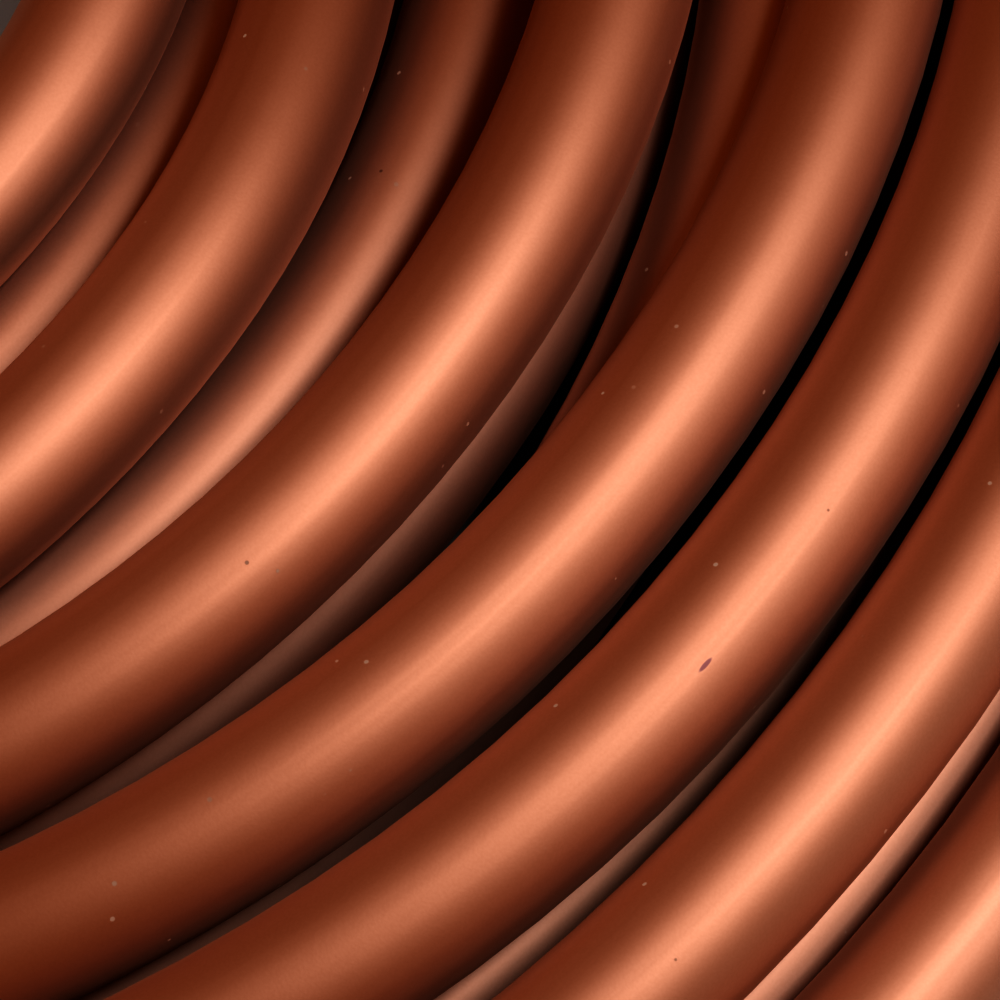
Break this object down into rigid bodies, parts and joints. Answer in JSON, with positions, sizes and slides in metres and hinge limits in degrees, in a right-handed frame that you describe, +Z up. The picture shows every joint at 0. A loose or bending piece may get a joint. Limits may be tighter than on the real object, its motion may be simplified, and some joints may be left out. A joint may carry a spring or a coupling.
{
  "type": "copper tube coil",
  "caption": "Coil of soft bare copper tube, wound in nested level rows round an open eye, with one free end outside and one inside.",
  "frame": {"origin": "on the coil's axis, at the level that its bottom row lies on", "axes": "+Z up along the coil's axis; the outer end leaves the bottom row near +X and +Y, and the inner end bends into the eye from -X"},
  "size_m": [0.3576, 0.3576, 0.0373],
  "materials": {
    "copper": "satin bare copper, fine drawn grain, light handling marks"
  },
  "bodies": {
    "root": {"copper_tube_coil": "copper"}
  },
  "joints": []
}
